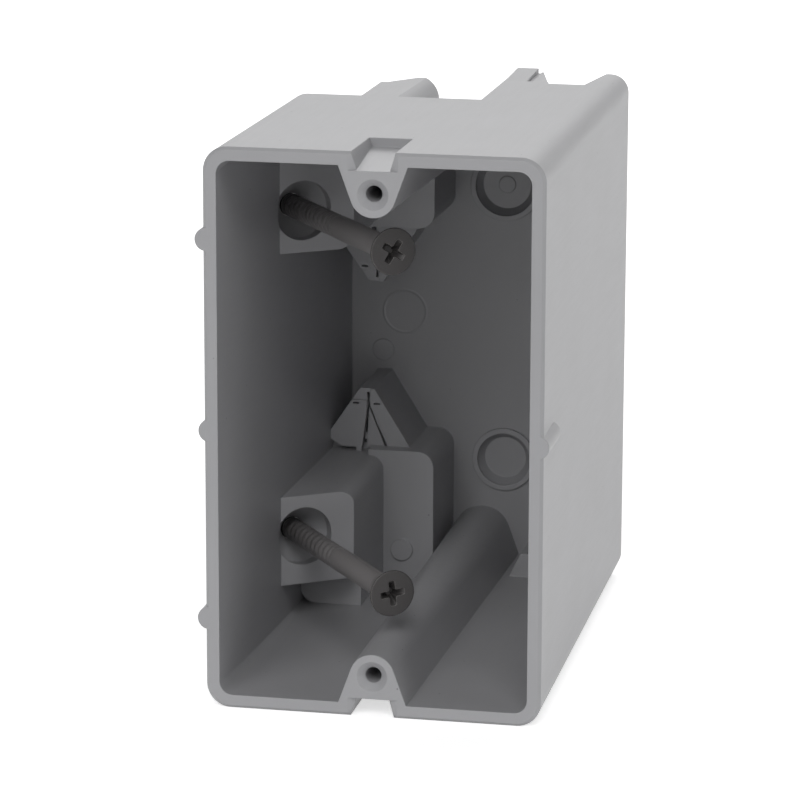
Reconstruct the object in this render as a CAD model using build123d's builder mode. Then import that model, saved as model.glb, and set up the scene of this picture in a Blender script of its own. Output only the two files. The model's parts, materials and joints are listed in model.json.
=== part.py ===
from build123d import *
from math import cos, radians, sin, tan
import os

# Single-gang switch box for new work, moulded in one piece, with two captive wood screws that
# are driven at an angle through its left wall into the stud. Millimetres. X runs to the right,
# Y into the wall, Z up. The origin is the middle of the two device screws, on the front rim.

# Moulded shell
face_width = 58.2
face_height = 97.7
depth = 98.5
draft = 0.5
side_wall = 2.35
back_wall = 2.4
corner_radius = 4.2
inner_radius = 2.3
rim_chamfer = 0.5
back_rounding = 1.0

# Device screw bosses, which run back as hollow ridges
device_spacing = 83.34
device_hole_diameter = 2.8
device_hole_depth = 24.0
device_dish_diameter = 5.3
device_dish_angle = 90.0
boss_radius = 3.9
flank_angle = 20.0
ridge_back_radius = 5.4
ridge_back_shift = 1.4
ridge_back_rise = 1.4
ridge_core_width = 4.0
ridge_core_start = 30.0
rib_wall = 2.2

# Plaster notches cut in the rim over each boss
notch_mouth = 7.6
notch_floor = 5.6
notch_length = 15.0
notch_front_depth = 3.2
notch_rear_depth = 1.5
notch_lead = 0.5

# Nubs that rest against the wallboard edge
nub_radius = 2.0
nub_proud = 1.4
middle_nub_inset = 0.4
nub_length = 11.5
nub_spacing = 33.0

# Rear cable bays beside the ridges, above and below the middle of the box
roof_edge = 61.0
bay_wall = 2.3
bay_height = 22.4
partition_height = 21.3
partition_rounding = 3.0
bay_rounding = 2.6
side_bay_face = 14.0
side_bay_wall = 1.0
inner_wall_lean = 0.93
chute_start = 76.0
chute_face = 4.4
chute_wall = 2.0
chute_shelf = 16.9
tongue_left = 15.0
tongue_right = 5.4
tongue_end = 85.0
tongue_cut_start = 76.6
tongue_cut_width = 5.7
tongue_roll = 4.5
channel_shift = 1.5
channel_radius = 2.8
channel_level = 41.5
channel_right = 6.8
rear_step_height = 41.5
heel_thickness = 2.6
heel_width = 11.5
heel_rounding = 3.0

# Inclined pads that carry the mounting screws
screw_angle = 35.0
screw_height = 30.0
pad_place = -22.0
pad_depth = 44.4
pad_outer_height = 38.9
socket_diameter = 10.7
socket_depth = 2.2
seat_angle = 82.0
seat_clearance = 0.08

# Mounting screws, number 8 by two inches
screw_length = 50.8
shank_diameter = 4.16
head_diameter = 8.2
head_land = 0.35
point_length = 3.0
screw_standoff = 40.5
recess_span = 4.5
recess_wing = 1.15
recess_depth = 2.3
recess_foot_span = 1.5
recess_foot_wing = 0.7

# Cable clamps, hoods with three fingers on the back wall
hood_start = 79.6
hood_height = 11.0
upper_hood_place = -16.1
lower_hood_place = -17.8
hood_crest = 2.8
hood_left = 7.0
hood_right = 8.25
hood_eave = 2.7
hood_wall = 1.5
hood_mouth_start = 84.0
hood_mouth_end = 89.5
finger_root = 3.2
finger_step = 0.5
finger_drop = 1.1
first_gap_width = 0.85
first_gap_foot = -0.65
second_gap_width = 0.45
second_gap_foot = 4.0
gap_root = 0.35
finger_slit = (1.2, 0.3)
slit_places = (-2.15, 1.9)

# Rear notches to the right of the ridges
tower_notch_start = 83.0
tower_notch_left = 15.5
tower_notch_right = 22.1
tower_flare_left = 11.9
tower_flare_right = 24.1
tower_notch_floor = 43.2
tower_wall = 1.9
tower_block_left = 11.5
tower_block_slope = 0.48
tower_cap_height = 0.5
tower_step_width = 4.0
tower_step_depth = 0.12
tower_groove_width = 0.7
tower_groove_depth = 0.4
tower_step_start = 85.0

# Knockouts, pin marks and gate ring on the back wall
upper_knockout_radius = 5.7
upper_knockout_place = (5.4, 26.3)
lower_knockout_radius = 5.1
lower_knockout_place = (5.5, -26.9)
knockout_recess = 1.5
knockout_wall_inset = 1.1
knockout_ring = 1.0
knockout_ring_height = 0.7
pin_mark_radius = 2.1
pin_mark_height = 0.25
pin_mark_place = -18.2
pin_mark_level = -6.5
chute_mark_place = -10.4
chute_mark_height = 40.4
chute_mark_thickness = 0.4
knockout_pin_radius = 1.6

taper_slope = tan(radians(draft))
half_width = face_width / 2
half_height = face_height / 2
hole_level = device_spacing / 2
screw_cos = cos(radians(screw_angle))
screw_sin = sin(radians(screw_angle))
screw_way = Vector(-screw_sin, screw_cos, 0)
beyond = 30.0


def across(y):
    """Plane at depth y, drawn with X to the right and Z up, facing the front."""
    return Plane.XZ.offset(-y)


def roof_at(y):
    """Height of the outside of the roof at depth y."""
    return half_height - y * taper_slope


def cavity_roof_at(y):
    return roof_at(y) - side_wall


def pad_face_at(x):
    """Depth of the inclined pad face at x."""
    return pad_depth + (x - pad_place) * tan(radians(screw_angle))


def drafted_block(width, height, radius, end, trim):
    """Rounded block from the rim to depth end, narrowing by the draft, trimmed on every side."""
    with BuildPart() as block:
        with BuildSketch(across(0)):
            RectangleRounded(width - 2 * trim, height - 2 * trim, radius)
        extrude(amount=end, dir=(0, 1, 0), taper=draft)
    return block.part


def bell(centre, level, radius, base):
    """Upright bell outline: a round end of the given radius with flanks that spread up to base."""
    angle = radians(flank_angle)
    rise = base - level
    spread = radius / cos(angle) + rise * tan(angle)
    side_x = radius * cos(angle)
    side_z = radius * sin(angle)
    with BuildLine() as outline:
        right = Line((centre + spread, base), (centre + side_x, level - side_z))
        left = Line((centre - side_x, level - side_z), (centre - spread, base))
        ThreePointArc(right @ 1, (centre, level - radius), left @ 0)
        Line(left @ 1, right @ 0)
    make_face(outline.edges())


def rolled_edge():
    """What the rolled edge of the tongue leaves free, between the roof and the channel."""
    centre_x = -tongue_right - tongue_roll
    centre_z = roof_at(roof_edge) - tongue_roll * 0.94
    free_width = tongue_roll * 0.9 + tongue_right + channel_shift
    with Locations((channel_shift - free_width / 2, centre_z + tongue_roll)):
        Rectangle(free_width, 2 * tongue_roll)
    with Locations((centre_x, centre_z)):
        Circle(tongue_roll, mode=Mode.SUBTRACT)


# Outer form of the moulding, also used to trim what is built against its walls
with BuildPart() as envelope:
    add(drafted_block(face_width, face_height, corner_radius, depth, 0))
    rear_loop = envelope.faces().sort_by(Axis.Y)[-1].edges()
    fillet(rear_loop, back_rounding)
    front_loop = envelope.faces().sort_by(Axis.Y)[0].edges()
    chamfer(front_loop, rim_chamfer)

cavity = drafted_block(
    face_width, face_height, inner_radius, depth - back_wall, side_wall
)

# Upper boss with its ridge, from the rim to the back wall
with BuildPart() as ridge:
    with BuildSketch(across(0.2)):
        bell(0, hole_level, boss_radius, cavity_roof_at(0) + 1)
    with BuildSketch(across(depth - 1)):
        back_level = hole_level - ridge_back_rise + ridge_back_radius - boss_radius
        bell(ridge_back_shift, back_level, ridge_back_radius, cavity_roof_at(depth) + 1)
    loft(ruled=True)
    with BuildSketch(across(0)):
        bell(0, hole_level, boss_radius, cavity_roof_at(0) + 1)
    extrude(amount=-0.3)

# Upper block of the rear cable bay, as it stands into the cavity
with BuildPart() as bay_block:
    with BuildSketch(across(roof_edge - beyond)):
        with BuildLine():
            FilletPolyline(
                (-half_width, bay_height), (-side_bay_face, bay_height),
                (-side_bay_face, half_height), radius=bay_rounding,
            )
            Polyline((-side_bay_face, half_height), (-half_width, half_height),
                     (-half_width, bay_height))
        make_face()
    extrude(amount=-(depth - roof_edge + beyond - 1))
    with BuildSketch(across(chute_start)):
        with BuildLine():
            FilletPolyline(
                (-half_width, partition_height), (-chute_face, partition_height),
                (-chute_face, half_height), radius=partition_rounding,
            )
            Polyline((-chute_face, half_height), (-half_width, half_height),
                     (-half_width, partition_height))
        make_face()
    extrude(amount=-(depth - chute_start - 1))
    # the chute's own partition is a little higher, and starts under the hood on the left
    with BuildSketch(across(chute_start - 1)):
        with Locations((-chute_shelf, bay_height)):
            Rectangle(face_width, 2 * (bay_height - partition_height), align=(Align.MAX, Align.MAX))
    extrude(amount=-(hood_start - chute_start + 1), mode=Mode.SUBTRACT)
    # the pad face, square to the screw
    with BuildSketch(Plane.XY):
        with BuildLine():
            Polyline((-face_width, pad_face_at(-face_width)), (0, pad_face_at(0)),
                     (0, -beyond), (-face_width, -beyond), close=True)
        make_face()
    extrude(amount=face_height, mode=Mode.SUBTRACT)
    # past the pad the space runs back to the bay's own front wall
    with BuildSketch(Plane.XY.offset(pad_outer_height)):
        with BuildLine():
            Polyline((-face_width, 0), (0, 0), (0, roof_edge - bay_wall),
                     (-face_width, roof_edge - bay_wall), close=True)
        make_face()
    extrude(amount=face_height, mode=Mode.SUBTRACT)
    # a heel behind the pad, with its outer corner rounded
    with BuildSketch(across(roof_edge - bay_wall - heel_thickness)):
        with BuildLine():
            FilletPolyline(
                (-side_bay_face - heel_width, pad_outer_height - 1),
                (-side_bay_face - heel_width, cavity_roof_at(roof_edge)),
                (-side_bay_face, cavity_roof_at(roof_edge)), radius=heel_rounding,
            )
            Polyline((-side_bay_face, cavity_roof_at(roof_edge)),
                     (-side_bay_face, pad_outer_height - 1),
                     (-side_bay_face - heel_width, pad_outer_height - 1))
        make_face()
    extrude(amount=-(heel_thickness + 1))

crest_level = partition_height - hood_height
eave_level = partition_height - hood_eave
crest_half = hood_crest / 2
left_lean = (hood_left - crest_half) / (eave_level - crest_level)


def hood_at(place):
    """Hood of the upper cable clamp, a roof of two slopes that stands on the partition."""
    left_foot = place - hood_left
    right_foot = place + hood_right
    with BuildPart() as hood:
        with BuildSketch(across(hood_start)):
            Polygon(
                (left_foot, partition_height + 0.5), (left_foot, eave_level),
                (place - crest_half, crest_level), (place + crest_half, crest_level),
                (right_foot, partition_height), (right_foot, partition_height + 0.5), align=None,
            )
        extrude(amount=-(depth - hood_start - 1))
        # the outer two fingers of the front stand a little proud
        with BuildSketch(across(hood_start - finger_step)):
            top_level = crest_level + finger_root - 0.9
            foot_level = partition_height + 0.4
            Polygon(
                (left_foot, foot_level - 1.3), (left_foot, eave_level),
                (place - crest_half - left_lean * (top_level - crest_level), top_level),
                (place, top_level), (place + first_gap_foot, foot_level + finger_drop),
                (place + first_gap_foot - 1.4, foot_level + finger_drop),
                (place + first_gap_foot - 1.5, foot_level), (left_foot + 2.1, foot_level), align=None,
            )
            Polygon(
                (place + crest_half / 2, crest_level), (place + crest_half, crest_level),
                (right_foot, partition_height), (place + second_gap_foot, partition_height),
                (place + gap_root, crest_level + finger_root), align=None,
            )
        extrude(amount=-(finger_step + 0.5))
    return hood.part


def hollow_at(place):
    """Hollow of that hood, its mouth in the partition and the gaps around its fingers."""
    hollow_left = place - hood_left + hood_wall * 1.2
    hollow_right = place + hood_right - hood_wall * 1.4
    with BuildPart() as hollow:
        with BuildSketch(across(hood_start + hood_wall)):
            Polygon(
                (hollow_left, partition_height), (hollow_left, eave_level + hood_wall / 2),
                (place - crest_half / 2, crest_level + hood_wall),
                (place + crest_half / 2, crest_level + hood_wall),
                (hollow_right, partition_height), align=None,
            )
        extrude(amount=-(depth - back_wall - hood_wall - hood_start))
        with BuildSketch(across(hood_mouth_start)):
            with Locations(((hollow_left + hollow_right) / 2, partition_height + bay_wall / 2)):
                Rectangle(hollow_right - hollow_left, bay_wall + 1)
        extrude(amount=-(hood_mouth_end - hood_mouth_start))
        with BuildSketch(across(hood_start - finger_step)):
            root_level = crest_level + finger_root
            foot_level = bay_height + 0.1
            Polygon(
                (place + gap_root - 0.25, root_level),
                (place + first_gap_foot - first_gap_width / 2, foot_level),
                (place + first_gap_foot + first_gap_width / 2, foot_level),
                (place + gap_root, root_level), align=None,
            )
            Polygon(
                (place + gap_root - second_gap_width, crest_level + 0.8),
                (place + gap_root - second_gap_width / 2, root_level),
                (place + second_gap_foot - second_gap_width / 2, foot_level),
                (place + second_gap_foot + second_gap_width / 2, foot_level),
                (place + gap_root + second_gap_width / 2, root_level),
                (place + gap_root, crest_level + 0.8), align=None,
            )
            with Locations(*[(place + offset, root_level - 0.3) for offset in slit_places]):
                Rectangle(*finger_slit)
        extrude(amount=-(hood_wall + finger_step))
        # the slot under the feet of the fingers
        with BuildSketch(across(hood_start)):
            slot_level = partition_height + 0.5
            Polygon(
                (place - hood_left, slot_level - 1.2), (place - hood_left + 2.1, slot_level),
                (-chute_shelf, slot_level), (-chute_shelf, bay_height),
                (place - hood_left, bay_height), align=None,
            )
        extrude(amount=-hood_wall)
    return hollow.part


upper_hood = hood_at(upper_hood_place)
lower_hood = mirror(hood_at(lower_hood_place), about=Plane.XY)
upper_hollow = hollow_at(upper_hood_place)
lower_hollow = mirror(hollow_at(lower_hood_place), about=Plane.XY)

# What is open to the outside behind the roof's rear edge, above the middle of the box
with BuildPart() as rear_opening:
    bay_floor = partition_height + bay_wall
    with BuildSketch(Plane.XY.offset(bay_floor)):
        with BuildLine():
            Polyline(
                (-face_width, roof_edge), (-side_bay_face - side_bay_wall, roof_edge),
                (-side_bay_face - side_bay_wall, chute_start + bay_wall),
                (-chute_face - chute_wall, chute_start + bay_wall),
                (-chute_face - chute_wall, depth + beyond),
                (-face_width, depth + beyond), close=True,
            )
        make_face()
    extrude(amount=face_height)
    # the ridge's channel, with the edge of the roof rolled down into it
    with BuildSketch(across(roof_edge)):
        bell(channel_shift, channel_level, channel_radius, half_height + 5)
        rolled_edge()
    extrude(amount=-(depth - roof_edge + beyond))
    # the core that hollows the ridge under the roof
    with BuildSketch(across(ridge_core_start)):
        core_floor = hole_level - boss_radius + rib_wall
        core_top = cavity_roof_at(roof_edge) - 0.2
        with Locations((channel_shift / 2, (core_floor + core_top) / 2)):
            Rectangle(ridge_core_width, core_top - core_floor)
    extrude(amount=-(roof_edge - ridge_core_start + 1))
    # behind the tongue the wall beside the channel is cut down
    with BuildSketch(Plane.XY.offset(rear_step_height)):
        with Locations((-chute_face - chute_wall / 2, tongue_end + beyond)):
            Rectangle(2 * chute_face, 2 * beyond)
    extrude(amount=face_height)

# Tongue of the roof that stays over the chute, with its rear corner cut off
with BuildPart() as tongue:
    with BuildSketch(Plane.XY.offset(cavity_roof_at(depth))):
        with BuildLine():
            Polyline(
                (-tongue_left, roof_edge - 2), (-tongue_left, tongue_cut_start),
                (-tongue_left + tongue_cut_width, tongue_end),
                (-tongue_right, tongue_end), (-tongue_right, roof_edge - 2),
                close=True,
            )
        make_face()
    extrude(amount=face_height)
    with BuildSketch(across(roof_edge - 3)):
        rolled_edge()
    extrude(amount=-beyond, mode=Mode.SUBTRACT)

# Rear notch in the tower on the right, open to the outside, and the wall around it
with BuildPart() as tower_block:
    with BuildSketch(across(tower_notch_start - bay_wall)):
        block_level = tower_notch_floor - tower_wall
        with BuildLine():
            Polyline(
                (tower_block_left, block_level), (half_width, block_level), (half_width, half_height),
                (tower_block_left - (half_height - block_level) * tower_block_slope, half_height),
                close=True,
            )
        make_face()
    extrude(amount=-(depth - tower_notch_start + bay_wall - 1))

with BuildPart() as tower_notch:
    with BuildSketch(Plane.XY.offset(tower_notch_floor)):
        with BuildLine():
            Polyline(
                (tower_notch_left, tower_notch_start), (tower_notch_right, tower_notch_start),
                (tower_flare_right, depth), (tower_flare_right, depth + beyond),
                (tower_flare_left, depth + beyond), (tower_flare_left, depth), close=True,
            )
        make_face()
    extrude(amount=face_height)
    with BuildSketch(Plane.XY.offset(roof_at(depth) - tower_step_depth)):
        with BuildLine():
            Polyline(
                (tower_notch_left - tower_step_width, tower_step_start),
                (tower_notch_left, tower_step_start), (tower_notch_left, depth + beyond),
                (tower_notch_left - tower_step_width - 0.4, depth + beyond), close=True,
            )
        make_face()
    extrude(amount=face_height)
    with BuildSketch(Plane.XY.offset(roof_at(depth) - tower_groove_depth)):
        groove_left = tower_notch_left - tower_step_width - tower_groove_width / 2
        with BuildLine():
            Polyline(
                (groove_left, tower_step_start), (groove_left + tower_groove_width, tower_step_start),
                (groove_left + tower_groove_width - 0.4, depth + beyond),
                (groove_left - 0.4, depth + beyond), close=True,
            )
        make_face()
    extrude(amount=face_height)

# Cap that rises towards the rear of the roof, between the channel and the groove
with BuildPart() as tower_cap:
    with BuildSketch(Plane.YZ.offset(channel_right + 0.2)):
        with BuildLine():
            Polyline(
                (tower_step_start, roof_at(tower_step_start) - 0.5),
                (tower_step_start, roof_at(tower_step_start)),
                (depth, roof_at(depth) + tower_cap_height), (depth, roof_at(depth) - 0.5), close=True,
            )
        make_face()
    extrude(amount=tower_notch_left - tower_step_width - tower_groove_width - channel_right)
    mirror(about=Plane.XY)

# The left wall is drafted more on its inside than outside
with BuildPart() as left_wall_wedge:
    with BuildSketch(Plane.XY):
        wedge_start = 2 * rim_chamfer
        wedge_end = depth - back_wall / 2
        wall_in = half_width - side_wall
        with BuildLine():
            Polyline(
                (-wall_in + wedge_start * taper_slope - 0.01, wedge_start),
                (-wall_in + wedge_end * tan(radians(draft + inner_wall_lean)), wedge_end),
                (-half_width, wedge_end), (-half_width, wedge_start), close=True,
            )
        make_face()
    extrude(amount=cavity_roof_at(depth), both=True)

# Socket, countersunk seat and hole for the upper mounting screw, along its axis
pad_centre = Vector(pad_place, pad_depth, screw_height)
seat_depth = (socket_diameter - shank_diameter) / 2 / tan(radians(seat_angle / 2))
screw_plane = Plane(origin=pad_centre, x_dir=(screw_cos, screw_sin, 0), z_dir=(0, 0, 1))
with BuildPart() as screw_bore:
    with BuildSketch(screw_plane):
        hole_radius = shank_diameter / 2 + seat_clearance
        with BuildLine():
            Polyline(
                (0, -beyond), (socket_diameter / 2, -beyond),
                (socket_diameter / 2, socket_depth),
                (hole_radius, socket_depth + seat_depth),
                (hole_radius, beyond), (0, beyond), close=True,
            )
        make_face()
    revolve(axis=Axis(pad_centre, screw_way))

# Notch in the rim and roof over the device screw boss, a ramp with its corners led in
with BuildPart() as rim_notch:
    notch_bed = half_height - notch_front_depth
    with BuildSketch(across(-1)):
        with BuildLine():
            Polyline(
                (-notch_floor / 2, notch_bed), (notch_floor / 2, notch_bed),
                (notch_mouth / 2, half_height), (notch_mouth / 2, half_height + 1),
                (-notch_mouth / 2, half_height + 1), (-notch_mouth / 2, half_height),
                close=True,
            )
        make_face()
    extrude(amount=-(notch_length + 1))
    with BuildSketch(Plane.XY.offset(notch_bed)):
        with BuildLine():
            mouth_end = notch_mouth / 2 + notch_lead
            Polyline(
                (-notch_floor / 2, notch_lead * 1.5), (-mouth_end, 0), (-mouth_end, -1),
                (mouth_end, -1), (mouth_end, 0), (notch_floor / 2, notch_lead * 1.5),
                close=True,
            )
        make_face()
    extrude(amount=notch_front_depth + 1)
    with BuildSketch(Plane.YZ):
        with BuildLine():
            Polyline(
                (-1, notch_bed), (0, notch_bed), (notch_length, roof_at(notch_length) - notch_rear_depth),
                (notch_length, half_height + 1), (-1, half_height + 1), close=True,
            )
        make_face()
    extrude(amount=face_width / 4, both=True, mode=Mode.INTERSECT)

# Everything that stands into the cavity, above and below, trimmed to the outer form
with BuildPart() as inside:
    for piece in (ridge, bay_block, tower_block):
        add(piece.part)
    mirror(about=Plane.XY)
    add(left_wall_wedge.part)
    add(upper_hood)
    add(lower_hood)
    add(envelope.part, mode=Mode.INTERSECT)

# Everything that is cut away from outside, above and below
with BuildPart() as outside:
    add(rear_opening.part)
    add(tongue.part, mode=Mode.SUBTRACT)
    for piece in (tower_notch, screw_bore, rim_notch):
        add(piece.part)
    mirror(about=Plane.XY)
    add(upper_hollow)
    add(lower_hollow)

# The moulded box
with BuildPart() as box_body:
    add(envelope.part)
    nub_centre = half_width + nub_proud - nub_radius
    nub_middle = nub_centre - middle_nub_inset
    with BuildSketch(across(0)):
        with Locations((-nub_centre, -nub_spacing), (-nub_centre, nub_spacing), (-nub_middle, 0),
                       (nub_middle, 0)):
            Circle(nub_radius)
    extrude(amount=-nub_length)
    add(cavity, mode=Mode.SUBTRACT)

    add(inside.part)
    add(outside.part, mode=Mode.SUBTRACT)
    add(tower_cap.part)

    # pilot holes of the device screws, with shallow dishes
    with Locations(*[Plane((0, 0, level), z_dir=(0, -1, 0)) for level in (hole_level, -hole_level)]):
        CounterSinkHole(
            device_hole_diameter / 2, device_dish_diameter / 2, device_hole_depth,
            counter_sink_angle=device_dish_angle,
        )

    # knockouts, each with a sloped wall, a thin membrane and a low ring round it
    back_face = across(depth - back_wall)
    for place, radius in (
        (upper_knockout_place, upper_knockout_radius), (lower_knockout_place, lower_knockout_radius)
    ):
        with BuildSketch(back_face):
            with Locations(place):
                Circle(radius + knockout_ring)
                Circle(radius, mode=Mode.SUBTRACT)
        extrude(amount=knockout_ring_height)
        with BuildSketch(back_face):
            with Locations(place):
                Circle(radius)
        with BuildSketch(across(depth - back_wall + knockout_recess)):
            with Locations(place):
                Circle(radius - knockout_wall_inset)
        loft(mode=Mode.SUBTRACT)
    with BuildSketch(across(depth - back_wall + knockout_recess)):
        with Locations(upper_knockout_place):
            Circle(knockout_pin_radius)
    extrude(amount=pin_mark_height)

    # marks of the ejector pins on the back wall and on the front of the lower chute
    with BuildSketch(back_face):
        with Locations((pin_mark_place, pin_mark_level)):
            Circle(pin_mark_radius)
    extrude(amount=pin_mark_height)
    with BuildSketch(across(chute_start)):
        with Locations((chute_mark_place, -chute_mark_height), (chute_mark_place, chute_mark_height)):
            Circle(pin_mark_radius)
    extrude(amount=chute_mark_thickness)

box_body.part.label = "box_body"


def mounting_screw(height):
    """Flat-head wood screw on the axis of its pad, with its head out in the cavity."""
    head = Vector(pad_place, pad_depth, height) - screw_way * screw_standoff
    side = Plane(origin=head, x_dir=(screw_cos, screw_sin, 0), z_dir=(0, 0, 1))
    cone = (head_diameter - shank_diameter) / 2 / tan(radians(seat_angle / 2))
    with BuildPart() as screw:
        with BuildSketch(side):
            with BuildLine():
                Polyline(
                    (0, 0), (head_diameter / 2, 0), (head_diameter / 2, head_land),
                    (shank_diameter / 2, head_land + cone),
                    (shank_diameter / 2, screw_length - point_length),
                    (0, screw_length), close=True,
                )
            make_face()
        revolve(axis=Axis(head, screw_way))
        for level, span, wing in (
            (0, recess_span, recess_wing), (recess_depth, recess_foot_span, recess_foot_wing)
        ):
            face = Plane(origin=head + screw_way * level, x_dir=(0, 0, 1), z_dir=-screw_way)
            with BuildSketch(face):
                Rectangle(span, wing)
                Rectangle(wing, span)
        loft(mode=Mode.SUBTRACT)
    return screw


upper_mounting_screw = mounting_screw(screw_height)
upper_mounting_screw.part.label = "upper_mounting_screw"
lower_mounting_screw = mounting_screw(-screw_height)
lower_mounting_screw.part.label = "lower_mounting_screw"

os.makedirs("parts", exist_ok=True)
export_step(box_body.part, "parts/box_body.step")
export_step(upper_mounting_screw.part, "parts/upper_mounting_screw.step")
export_step(lower_mounting_screw.part, "parts/lower_mounting_screw.step")
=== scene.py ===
# %% [markdown]
# # A moulded switch box with two screws, dressed for a studio picture
#
# The object is a single-gang switch box as an electrician fixes it to a stud in a new wall: one moulding
# of grey PVC with an open front, and two flat-head wood screws that wait at a slant inside it. The solids
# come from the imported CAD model, which fixes every size and place. What is added here is what the eye
# reads as real: the finish of the plastic, the threads and cross recesses of the screws, the floor and
# the light.

# %% Load the frame
import json
import math

import bmesh
import bpy
from mathutils import Matrix, Vector


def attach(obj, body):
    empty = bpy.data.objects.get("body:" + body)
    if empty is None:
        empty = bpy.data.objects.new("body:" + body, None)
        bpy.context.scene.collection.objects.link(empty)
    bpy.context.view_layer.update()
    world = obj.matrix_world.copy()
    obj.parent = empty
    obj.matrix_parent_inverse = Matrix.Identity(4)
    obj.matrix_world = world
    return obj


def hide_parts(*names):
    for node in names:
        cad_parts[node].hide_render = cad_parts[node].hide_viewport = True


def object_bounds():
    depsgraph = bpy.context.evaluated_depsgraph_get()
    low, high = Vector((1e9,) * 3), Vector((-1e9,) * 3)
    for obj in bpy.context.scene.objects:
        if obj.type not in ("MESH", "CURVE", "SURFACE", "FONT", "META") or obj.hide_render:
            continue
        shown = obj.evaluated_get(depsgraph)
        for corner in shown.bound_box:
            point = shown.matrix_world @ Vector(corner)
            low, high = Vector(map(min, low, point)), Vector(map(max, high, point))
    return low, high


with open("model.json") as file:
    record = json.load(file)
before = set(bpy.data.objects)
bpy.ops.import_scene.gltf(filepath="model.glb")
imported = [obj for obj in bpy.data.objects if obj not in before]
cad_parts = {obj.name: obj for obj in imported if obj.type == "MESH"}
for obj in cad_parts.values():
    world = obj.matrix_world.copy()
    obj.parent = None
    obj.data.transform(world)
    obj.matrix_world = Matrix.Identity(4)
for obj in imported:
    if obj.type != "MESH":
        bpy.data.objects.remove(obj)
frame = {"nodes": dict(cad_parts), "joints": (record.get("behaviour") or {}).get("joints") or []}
cad_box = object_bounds()
nodes = frame["nodes"]
millimetre = 0.001
print("nodes:", sorted(nodes))
print("CAD box in mm:", [[round(c / millimetre, 1) for c in corner] for corner in cad_box])

# %% [markdown]
# ## Three small helpers
#
# Colours are easiest to judge as the hex values of a paint program, but a shader works in linear light.
# One function makes that change for the whole script. A second one adds a shader node to a material or to
# the world: it takes the node's settings by name, and for each input either a plain value or the output
# of another node. The third starts a material with no nodes in it. A noise texture's values lie mostly
# between 0.3 and 0.7, so those two ends are stretched when a noise sets a roughness.


# %% Colour from hex, a node with its settings and links, and an empty material
def linear(hex_colour):
    channels = [int(hex_colour[i:i + 2], 16) / 255 for i in (1, 3, 5)]
    curve = [c / 12.92 if c <= 0.04045 else ((c + 0.055) / 1.055) ** 2.4 for c in channels]
    return (*curve, 1.0)


def add_node(owner, kind, inputs=None, **settings):
    tree = owner.node_tree
    node = tree.nodes.new(kind)
    for name, value in settings.items():
        setattr(node, name, value)
    for name, value in (inputs or {}).items():
        if isinstance(value, bpy.types.NodeSocket):
            tree.links.new(value, node.inputs[name])
        else:
            node.inputs[name].default_value = value
    return node


def new_material(name):
    material = bpy.data.materials.new(name)
    material.use_nodes = True
    material.node_tree.nodes.clear()
    return material


noise_low = 0.3
noise_high = 0.7
bevel_samples = 6
print("grey card #777777 in linear light:", [round(c, 3) for c in linear("#777777")[:3]])

# %% [markdown]
# ## Grey PVC, injection moulded
#
# The box is rigid PVC, filled and coloured grey, shot into a steel mould. Moulded PVC is satin, not
# glossy: the mould wall was spark-eroded and left a very fine grain, and the skin froze in slow clouds a
# little lighter or darker than each other. Handling in the carton adds tiny dark specks and faint rubs
# along the draw. So the colour gets clouds about 16 mm across and sparse specks 0.4 mm wide, the
# roughness gets thin streaks that run the way the box was drawn from its mould, and the surface gets the
# grain as bump. The real grain, near 0.05 mm, is too fine for the picture, so it is drawn at 0.35 mm. A
# Bevel node rounds the light on the edges by 0.25 mm, because no moulded edge is truly sharp. The gate,
# where the plastic came into the mould, left a ring on the back wall. It is under a tenth of a millimetre
# high, too little for geometry, so a second bump draws it.

# %% Moulded PVC material
pvc_grey = "#ABABAE"
pvc_cloud_dark = "#A4A4A6"
pvc_speck = "#6E6E70"
pvc_ior = 1.53
cloud_size = 16 * millimetre
speck_spacing = 5 * millimetre
speck_radius = 0.2 * millimetre
speck_strength = 0.8
streak_width = 0.8 * millimetre
streak_stretch = 0.06
least_rough = 0.38
most_rough = 0.41
grain_size = 0.35 * millimetre
grain_height = 0.05 * millimetre
grain_strength = 0.15
edge_radius = 0.25 * millimetre
ring_centre = (-14.0 * millimetre, 0.0, 1.2 * millimetre)
ring_radius = 4.1 * millimetre
ring_width = 0.35 * millimetre
ring_height = 0.07 * millimetre
ring_depth = 95.5 * millimetre


def gate_ring(material, place):
    """A low ring on the back wall where the gate of the mould was: 1 on its crest, 0 away from it."""
    flat = add_node(material, "ShaderNodeMapping", {"Vector": place, "Scale": (1.0, 0.0, 1.0)})
    away = add_node(material, "ShaderNodeVectorMath", {
        0: flat.outputs["Vector"], 1: ring_centre}, operation="DISTANCE")
    off = add_node(material, "ShaderNodeMath", {
        0: away.outputs["Value"], 1: ring_radius}, operation="SUBTRACT")
    off = add_node(material, "ShaderNodeMath", {0: off.outputs["Value"]}, operation="ABSOLUTE")
    ring = add_node(material, "ShaderNodeMapRange", {
        "Value": off.outputs["Value"], "From Min": 0.0, "From Max": ring_width, "To Min": 1.0, "To Max": 0.0})
    depth = add_node(material, "ShaderNodeSeparateXYZ", {"Vector": place})
    behind = add_node(material, "ShaderNodeMath", {
        0: depth.outputs["Y"], 1: ring_depth}, operation="GREATER_THAN")
    return add_node(material, "ShaderNodeMath", {
        0: ring.outputs["Result"], 1: behind.outputs["Value"]}, operation="MULTIPLY").outputs["Value"]


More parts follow.
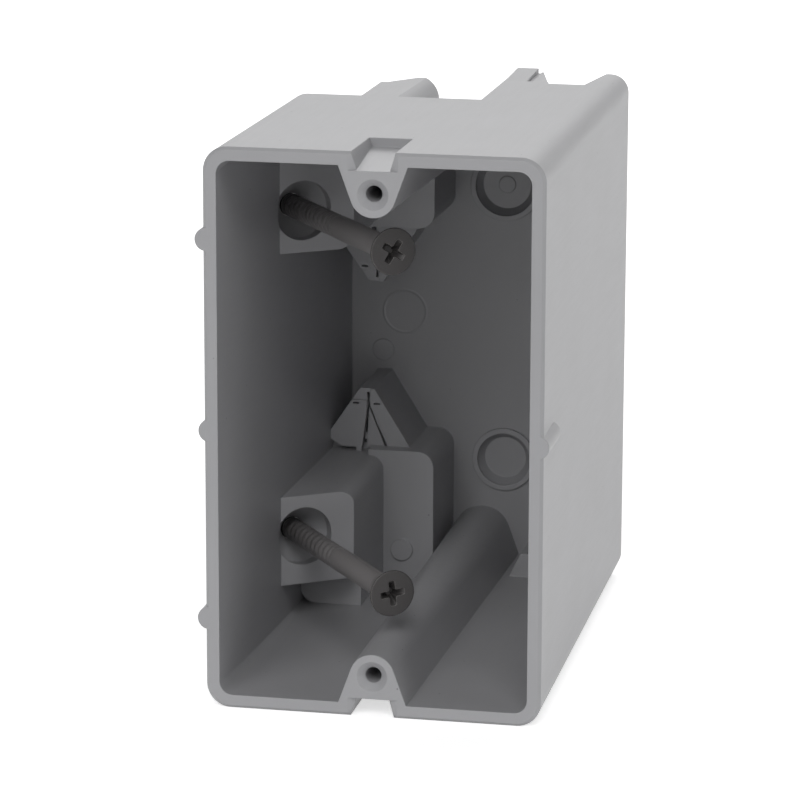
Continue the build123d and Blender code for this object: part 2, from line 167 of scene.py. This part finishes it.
def moulded_pvc():
    material = new_material("moulded_grey_pvc")
    place = add_node(material, "ShaderNodeTexCoord").outputs["Object"]
    clouds = add_node(material, "ShaderNodeTexNoise", {
        "Vector": place, "Scale": 1 / cloud_size, "Detail": 3.0})
    tone = add_node(material, "ShaderNodeMix", {
        6: linear(pvc_cloud_dark), 7: linear(pvc_grey), 0: clouds.outputs["Fac"]}, data_type="RGBA")
    cells = add_node(material, "ShaderNodeTexVoronoi", {"Vector": place, "Scale": 1 / speck_spacing})
    speck = add_node(material, "ShaderNodeMapRange", {
        "Value": cells.outputs["Distance"], "From Min": 0.5 * speck_radius / speck_spacing,
        "From Max": speck_radius / speck_spacing, "To Min": speck_strength, "To Max": 0.0})
    colour = add_node(material, "ShaderNodeMix", {
        0: speck.outputs["Result"], 6: tone.outputs[2], 7: linear(pvc_speck)}, data_type="RGBA")
    drawn = add_node(material, "ShaderNodeMapping", {"Vector": place, "Scale": (1.0, streak_stretch, 1.0)})
    rubs = add_node(material, "ShaderNodeTexNoise", {
        "Vector": drawn.outputs["Vector"], "Scale": 1 / streak_width, "Detail": 2.0})
    rough = add_node(material, "ShaderNodeMapRange", {
        "Value": rubs.outputs["Fac"], "From Min": noise_low, "From Max": noise_high,
        "To Min": least_rough, "To Max": most_rough})
    grain = add_node(material, "ShaderNodeTexNoise", {
        "Vector": place, "Scale": 1 / grain_size, "Detail": 2.0})
    rounded = add_node(material, "ShaderNodeBevel", {"Radius": edge_radius}, samples=bevel_samples)
    grained = add_node(material, "ShaderNodeBump", {
        "Height": grain.outputs["Fac"], "Strength": grain_strength, "Distance": grain_height,
        "Normal": rounded.outputs["Normal"]})
    bump = add_node(material, "ShaderNodeBump", {
        "Height": gate_ring(material, place), "Strength": 1.0, "Distance": ring_height,
        "Normal": grained.outputs["Normal"]})
    shader = add_node(material, "ShaderNodeBsdfPrincipled", {
        "Base Color": colour.outputs[2], "Roughness": rough.outputs["Result"], "IOR": pvc_ior,
        "Normal": bump.outputs["Normal"]})
    add_node(material, "ShaderNodeOutputMaterial", {"Surface": shader.outputs["BSDF"]})
    return material


box_body = nodes["box_body"]
box_body.data.materials.clear()
box_body.data.materials.append(moulded_pvc())
print("box_body faces:", len(box_body.data.polygons))

# %% [markdown]
# ## Black phosphate on steel
#
# Wood screws for a dry wall are phosphated: the steel is dipped and grows a crystal skin that holds oil.
# It is nearly black, and it scatters light like a fine slate rather than like a metal. The face of the
# head keeps that dark skin. The shank is painted a paler grey: this is painted sheen, which stands in for
# the light that the shank catches while the head lies in shade. Each screw's mesh carries a value for
# that painted sheen, from 0 on the head to 1 on the plain shank, and back towards 0 along the thread.
# The skin is porous, so its gloss is half that of a smooth film. On sharp edges, such as the rim of the
# head and the mouth of its recess, a little steel shows through. A Bevel node rounds the light there, and
# where its normal turns away from the surface's own, within 0.12 mm of an edge, the skin is worn. The
# crystals of the skin are about 0.02 mm, so they are drawn ten times coarser.

# %% Phosphated steel material
phosphate_black = "#413F3F"
phosphate_light = "#4C4A4A"
# painted sheen: the paler grey that the shank is painted, for the light it catches while the head lies in
# shade
shank_sheen_grey = "#8B8888"
worn_steel = "#A9A7A3"
steel_share = 0.15
porous_gloss = 0.25
smooth_rough = 0.3
crystal_rough = 0.42
crystal_size = 0.2 * millimetre
crystal_height = 0.03 * millimetre
crystal_strength = 0.25
wear_width = 0.12 * millimetre
wear_strength = 0.5
wear_begins = 0.995
wear_full = 0.9


def phosphated_steel():
    material = new_material("black_phosphated_steel")
    place = add_node(material, "ShaderNodeTexCoord").outputs["Object"]
    crystals = add_node(material, "ShaderNodeTexNoise", {
        "Vector": place, "Scale": 1 / crystal_size, "Detail": 4.0, "Roughness": 0.65})
    skin = add_node(material, "ShaderNodeMix", {
        6: linear(phosphate_black), 7: linear(phosphate_light), 0: crystals.outputs["Fac"]},
        data_type="RGBA")
    # painted sheen: along the shank the dark skin is mixed towards the paler grey
    shank_sheen = add_node(material, "ShaderNodeAttribute", attribute_name="shank_sheen").outputs["Fac"]
    skin = add_node(material, "ShaderNodeMix", {
        0: shank_sheen, 6: skin.outputs[2], 7: linear(shank_sheen_grey)}, data_type="RGBA")
    rounded = add_node(material, "ShaderNodeBevel", {"Radius": wear_width}, samples=bevel_samples)
    flat = add_node(material, "ShaderNodeNewGeometry").outputs["Normal"]
    same_way = add_node(material, "ShaderNodeVectorMath", {
        0: rounded.outputs["Normal"], 1: flat}, operation="DOT_PRODUCT")
    wear = add_node(material, "ShaderNodeMapRange", {
        "Value": same_way.outputs["Value"], "From Min": wear_begins, "From Max": wear_full,
        "To Min": 0.0, "To Max": wear_strength})
    colour = add_node(material, "ShaderNodeMix", {
        0: wear.outputs["Result"], 6: skin.outputs[2], 7: linear(worn_steel)}, data_type="RGBA")
    rough = add_node(material, "ShaderNodeMapRange", {
        "Value": crystals.outputs["Fac"], "From Min": noise_low, "From Max": noise_high,
        "To Min": smooth_rough, "To Max": crystal_rough})
    bump = add_node(material, "ShaderNodeBump", {
        "Height": crystals.outputs["Fac"], "Strength": crystal_strength, "Distance": crystal_height,
        "Normal": rounded.outputs["Normal"]})
    shader = add_node(material, "ShaderNodeBsdfPrincipled", {
        "Base Color": colour.outputs[2], "Metallic": steel_share, "Specular IOR Level": porous_gloss,
        "Roughness": rough.outputs["Result"], "Normal": bump.outputs["Normal"]})
    add_node(material, "ShaderNodeOutputMaterial", {"Surface": shader.outputs["BSDF"]})
    return material


steel = phosphated_steel()
print("screw material:", steel.name)

# %% [markdown]
# ## Where each screw lies
#
# A screw has to stay exactly where the CAD solid is, so nothing is typed in: the joint gives the
# direction it is driven in, and the solid's own corners give its axis, its two ends and the size of its
# head. The three directions make a right-handed frame, or the thread would come out left-handed and
# inside out.


# %% Read a screw's axis and size from its solid
def screw_frame(node, joint):
    """The screw's place with Z along its axis from the face of the head, its length and its head's radius."""
    corners = [v.co for v in nodes[node].data.vertices]
    axis = Vector(joint["axis"]).normalized()
    side = axis.cross(Vector((0, 0, 1))).normalized()
    up = axis.cross(side)
    along = [c.dot(axis) for c in corners]
    across = [c.dot(side) for c in corners]
    heights = [c.dot(up) for c in corners]
    centre = side * (max(across) + min(across)) / 2 + up * (max(heights) + min(heights)) / 2
    turn = Matrix((side, up, axis)).transposed().to_4x4()
    turn.translation = centre + axis * min(along)
    return turn, max(along) - min(along), (max(heights) - min(heights)) / 2


joints = {j["child"]: j for j in frame["joints"]}
upper_place, screw_length, head_radius = screw_frame("upper_mounting_screw", joints["upper_screw"])
lower_place, _, _ = screw_frame("lower_mounting_screw", joints["lower_screw"])
print("screw length and head radius in mm:", round(screw_length / millimetre, 2),
      round(head_radius / millimetre, 2))

# %% [markdown]
# ## The screw's profile
#
# A screw is turned and rolled, so it is a profile swept round its axis with one thing added: over the far
# half the radius rises and falls with the turn, which makes the thread a right-handed helix. Each ring of
# the mesh asks one function for its radius at each angle. The head is a flat top with a rounded rim, a
# short land and an 82 degree cone, and the far end tapers to a point that the thread runs out on.

# %% Screw profile with its thread
shank_radius = 2.08 * millimetre
root_radius = 1.84 * millimetre
head_land = 0.35 * millimetre
head_half_angle = math.radians(41)
cone_end = head_land + (head_radius - shank_radius) / math.tan(head_half_angle)
thread_pitch = 1.9 * millimetre
thread_start = 0.45 * screw_length
thread_fade = 2.5 * millimetre
crest_share = 0.42
crest_roundness = 0.8
point_length = 3 * millimetre
point_roundness = 0.85
crest_runout = 1.6


def thread_height(depth, angle):
    turn = (depth / thread_pitch - angle / (2 * math.pi)) % 1
    ridge = max(0.0, 1 - abs(turn - 0.5) / crest_share)
    return ridge ** crest_roundness


def plain_radius(depth):
    """The radius of the head, its cone and the smooth shank at a depth below the face."""
    if depth < head_land:
        return head_radius
    if depth < cone_end:
        return head_radius - (depth - head_land) * math.tan(head_half_angle)
    return shank_radius


def screw_radius(depth, angle):
    if depth < thread_start:
        return plain_radius(depth)
    rolled = min(1.0, (depth - thread_start) / thread_fade)
    to_tip = min(1.0, (screw_length - depth) / point_length)
    taper = to_tip ** point_roundness
    root = shank_radius + (root_radius - shank_radius) * rolled
    crest = shank_radius - root
    return taper * root + crest * thread_height(depth, angle) * min(1.0, crest_runout * to_tip)


print("thread turns:", round((screw_length - thread_start) / thread_pitch, 1))


# %% [markdown]
# ## The cross recess
#
# The driver's cross is struck into the head with a punch: four wings that narrow as they go down, with
# round corners between them. The tool is built as a stack of cross outlines, from just above the face
# down to the foot, and taken away from the head with a Boolean modifier, as the punch would.

# %% Punch for the cross recess
wing_reach = 2.25 * millimetre
wing_width = 0.58 * millimetre
foot_reach = 0.75 * millimetre
foot_width = 0.35 * millimetre
recess_depth = 2.3 * millimetre
punch_levels = (-0.12, 0.0, 0.12, 0.35, 0.7, 1.0)
wing_curve = 0.8
corner_points = 5
corner_share = 0.45
wing_end_share = 0.3


def cross_outline(reach, width):
    """One closed cross: each quarter has a round inner corner and a wing end with two soft corners."""
    inner = corner_share * width
    soft = wing_end_share * width
    quarter = []
    for i in range(corner_points):
        a = math.radians(90 * i / (corner_points - 1))
        quarter.append((width + inner * (1 - math.sin(a)), width + inner * (1 - math.cos(a))))
    quarter += [(width, reach - soft), (width - soft, reach), (soft - width, reach), (-width, reach - soft)]
    return [(x * c - y * s, x * s + y * c)
            for c, s in ((1, 0), (0, 1), (-1, 0), (0, -1)) for x, y in quarter]


def skin(mesh, rings):
    """Faces from each ring of vertices to the next one down."""
    for upper, lower in zip(rings, rings[1:]):
        for i in range(len(upper)):
            j = (i + 1) % len(upper)
            mesh.faces.new((upper[i], upper[j], lower[j], lower[i]))


def finished(mesh, name):
    """The mesh as an object, with all its faces turned outwards."""
    bmesh.ops.recalc_face_normals(mesh, faces=mesh.faces)
    data = bpy.data.meshes.new(name)
    mesh.to_mesh(data)
    mesh.free()
    piece = bpy.data.objects.new(name, data)
    bpy.context.scene.collection.objects.link(piece)
    return piece


def punch(turn):
    """The punch, with its wings turned by an angle about the screw's axis."""
    mesh = bmesh.new()
    rings = []
    for share in punch_levels:
        down = max(0.0, share)
        reach = wing_reach + (foot_reach - wing_reach) * down ** wing_curve
        width = wing_width + (foot_width - wing_width) * down
        ring = [Matrix.Rotation(turn, 3, "Z") @ Vector((x, y, share * recess_depth))
                for x, y in cross_outline(reach, width)]
        rings.append([mesh.verts.new(p) for p in ring])
    skin(mesh, rings)
    mesh.faces.new(list(reversed(rings[0])))
    mesh.faces.new(rings[-1])
    return finished(mesh, "punch")


print("cross spans in mm:", 2 * wing_reach / millimetre)

# %% [markdown]
# ## One screw
#
# The rings become a closed skin: one face closes the head and a fan closes the tip. The punch is taken
# away, the modifier is applied, and each corner gets its value of painted sheen by how far down the screw
# it lies.
# Flat surfaces are kept flat by letting only shallow angles shade smooth.

# %% Build a screw and put it in its solid's place
ring_points = 48
ring_step = 0.1 * millimetre
ring_angles = [2 * math.pi * i / ring_points for i in range(ring_points)]
head_rim = 0.18 * millimetre
rim_shoulder = 0.29 * head_rim
smooth_angle = math.radians(20)
# painted sheen: where the shank's paler grey fades in past the head cone and fades out towards the point
sheen_fade = 2.5 * millimetre
sheen_end = 1.05 * screw_length
upper_cross_turn = math.radians(34)
lower_cross_turn = math.radians(-6)


def round_ring(radius, depth):
    return [(radius * math.cos(a), radius * math.sin(a), depth) for a in ring_angles]


def threaded_ring(depth):
    ring = []
    for a in ring_angles:
        r = screw_radius(depth, a)
        ring.append((r * math.cos(a), r * math.sin(a), depth))
    return ring


def blank(name):
    """The whole screw before its recess is struck."""
    depths = [0.0]
    while depths[-1] + ring_step < screw_length - ring_step:
        depths.append(depths[-1] + ring_step)
    rows = [round_ring(head_radius - head_rim, 0.0),
            round_ring(head_radius - rim_shoulder, rim_shoulder),
            round_ring(head_radius, head_rim)]
    rows += [threaded_ring(depth) for depth in depths if depth > head_rim + ring_step / 2]
    mesh = bmesh.new()
    rings = [[mesh.verts.new(p) for p in row] for row in rows]
    skin(mesh, rings)
    mesh.faces.new(rings[0])
    tip = mesh.verts.new((0, 0, screw_length))
    for i in range(ring_points):
        mesh.faces.new((rings[-1][i], rings[-1][(i + 1) % ring_points], tip))
    return finished(mesh, name)


def strike_recess(piece, turn):
    tool = punch(turn)
    cut = piece.modifiers.new("recess", "BOOLEAN")
    cut.operation = "DIFFERENCE"
    cut.object = tool
    cut.solver = "EXACT"
    bpy.context.view_layer.update()
    struck = bpy.data.meshes.new_from_object(piece.evaluated_get(bpy.context.evaluated_depsgraph_get()))
    piece.modifiers.clear()
    piece.data = struck
    bpy.data.objects.remove(tool)


# painted sheen: each vertex gets how much of the shank's paler grey it is painted with
def mark_shank_sheen(data):
    shank_sheen = data.attributes.new("shank_sheen", "FLOAT", "POINT")
    for vertex, value in zip(data.vertices, shank_sheen.data):
        past_head = (vertex.co.z - cone_end) / sheen_fade
        to_point = (sheen_end - vertex.co.z) / (sheen_end - thread_start)
        value.value = min(1.0, max(0.0, min(past_head, to_point)))


def screw(name, node, body, place, cross_turn):
    piece = blank(name)
    strike_recess(piece, cross_turn)
    mark_shank_sheen(piece.data)
    piece.data.transform(place)
    piece.data.materials.clear()
    piece.data.materials.append(steel)
    piece.data.shade_smooth()
    piece.data.set_sharp_from_angle(angle=smooth_angle)
    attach(piece, body)
    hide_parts(node)
    print(name, "faces:", len(piece.data.polygons))


screw("upper_threaded_screw", "upper_mounting_screw", "upper_screw", upper_place, upper_cross_turn)
screw("lower_threaded_screw", "lower_mounting_screw", "lower_screw", lower_place, lower_cross_turn)

# %% [markdown]
# ## Floor
#
# A plain pale floor lies under the lowest point of the box. It is matt and almost white. To come out as
# white as the photograph's sheet it also glows, but only for rays that come straight from the camera, or
# by way of a gloss or something clear, so that it puts no light on the box. Near the box the lamps do
# most of the work and the glow is weak enough to keep the soft shadow. Further off, where the lamps fade,
# the glow rises to full white.

# %% Floor
floor_white = "#F4F4F4"
floor_rough = 0.9
floor_width = 8.0
near_glow = 0.62
near_floor = 0.3
far_floor = 1.4


def seen_directly(owner):
    """1 for rays that the camera sees the floor or the world by, itself or in a mirror or glass, else 0."""
    path = add_node(owner, "ShaderNodeLightPath")
    mirrored = add_node(owner, "ShaderNodeMath", {
        0: path.outputs["Is Camera Ray"], 1: path.outputs["Is Glossy Ray"]}, operation="MAXIMUM")
    return add_node(owner, "ShaderNodeMath", {
        0: mirrored.outputs["Value"], 1: path.outputs["Is Transmission Ray"]},
        operation="MAXIMUM").outputs["Value"]


def matt_floor():
    material = new_material("matt_floor")
    spot = add_node(material, "ShaderNodeTexCoord").outputs["Object"]
    distance = add_node(material, "ShaderNodeVectorMath", {0: spot}, operation="LENGTH")
    lift = add_node(material, "ShaderNodeMapRange", {
        "Value": distance.outputs["Value"], "From Min": near_floor, "From Max": far_floor,
        "To Min": near_glow, "To Max": 1.0})
    glow = add_node(material, "ShaderNodeMath", {
        0: seen_directly(material), 1: lift.outputs["Result"]}, operation="MULTIPLY")
    shader = add_node(material, "ShaderNodeBsdfPrincipled", {
        "Base Color": linear(floor_white), "Roughness": floor_rough, "Emission Color": (1, 1, 1, 1),
        "Emission Strength": glow.outputs["Value"]})
    add_node(material, "ShaderNodeOutputMaterial", {"Surface": shader.outputs["BSDF"]})
    return material


half_floor = floor_width / 2
floor_level = cad_box[0][2]
floor_data = bpy.data.meshes.new("floor")
floor_data.from_pydata([(-half_floor, -half_floor, floor_level), (half_floor, -half_floor, floor_level),
                        (half_floor, half_floor, floor_level), (-half_floor, half_floor, floor_level)],
                       [], [(0, 1, 2, 3)])
floor_data.materials.append(matt_floor())
floor = bpy.data.objects.new("floor", floor_data)
bpy.context.scene.collection.objects.link(floor)
print("floor level in mm:", round(floor_level / millimetre, 2))

# %% [markdown]
# ## Light
#
# In the photograph the roof is the brightest face, the right side comes next and the rim is a good deal
# darker, while the inside falls off to near black at its left rear. Light adds up, so each softbox was
# first rendered alone, and then the powers were chosen that add up to the photograph's tones. One softbox
# stands high behind the box for the roof and one at its right. Three in front share the inside: a high
# one on the right for the left wall and the floor of the box, a high one on the left for the screws, and
# one near the camera for the back wall. One more stands at the far side, for views from there. The white
# sheet under the real box threw light up at its foot, so a small soft lamp lies on the floor just in
# front of the rim. The camera doesn't see it. The world adds very little, and shows as white only to the
# camera and in reflections.

# %% World and lamps
world_level = 0.04
softboxes = [
    # name, place from the middle of the box in metres, width in metres, power in watts
    ("rear_softbox", (0.0, 0.7, 0.8), 0.8, 4.4),
    ("right_softbox", (1.0, -0.1, 0.3), 0.8, 1.9),
    ("front_softbox", (0.25, -0.85, 0.8), 0.5, 2.9),
    ("left_softbox", (-0.35, -0.7, 0.7), 0.4, 1.3),
    ("camera_side_softbox", (-0.15, -1.0, 0.45), 0.5, 1.8),
    ("far_side_softbox", (-1.0, 0.5, 0.35), 0.8, 1.6),
]
bounce_watts = 0.02
bounce_width = 0.15
bounce_lift = 0.5 * millimetre


def studio_world():
    world = bpy.data.worlds.new("studio")
    bpy.context.scene.world = world
    world.use_nodes = True
    world.node_tree.nodes.clear()
    strength = add_node(world, "ShaderNodeMapRange", {
        "Value": seen_directly(world), "To Min": world_level, "To Max": 1.0})
    background = add_node(world, "ShaderNodeBackground", {
        "Color": (1, 1, 1, 1), "Strength": strength.outputs["Result"]})
    add_node(world, "ShaderNodeOutputWorld", {"Surface": background.outputs["Background"]})


def softbox(name, place, aim, width, watts):
    data = bpy.data.lights.new(name, "AREA")
    data.shape = "SQUARE"
    data.size = width
    data.energy = watts
    lamp = bpy.data.objects.new(name, data)
    lamp.location = place
    lamp.rotation_euler = (aim - place).to_track_quat("-Z", "Y").to_euler()
    bpy.context.scene.collection.objects.link(lamp)
    return lamp


studio_world()
middle = (Vector(cad_box[0]) + Vector(cad_box[1])) / 2
for name, offset, width, watts in softboxes:
    softbox(name, middle + Vector(offset), middle, width, watts)
bounce_place = Vector((middle.x, cad_box[0][1] - bounce_width / 2, floor_level + bounce_lift))
bounce = softbox("floor_bounce", bounce_place, bounce_place + Vector((0, 0, 1)), bounce_width, bounce_watts)
bounce.visible_camera = False

# %% [markdown]
# ## Camera
#
# The photograph was taken with a long lens from a little above and to the right of the open front. The
# camera's place, turn and lens were found by fitting a pinhole camera to the corners of the rim, the two
# device-screw holes and the long outer edges.

# %% Camera
camera_place = Vector((135.8, -640.4, 163.1)) * millimetre
camera_turn = (76.575, -0.170, 11.608)
camera_lens = 180.8
sensor_width = 36.0
nearest_seen = 0.05
lens_data = bpy.data.cameras.new("camera")
lens_data.lens = camera_lens
lens_data.sensor_width = sensor_width
lens_data.clip_start = nearest_seen
camera = bpy.data.objects.new("camera", lens_data)
camera.location = camera_place
camera.rotation_euler = [math.radians(a) for a in camera_turn]
bpy.context.scene.collection.objects.link(camera)
bpy.context.scene.camera = camera
bpy.context.scene.view_settings.view_transform = "Standard"
print("camera stands", round((camera_place - middle).length / millimetre), "mm from the middle of the box")
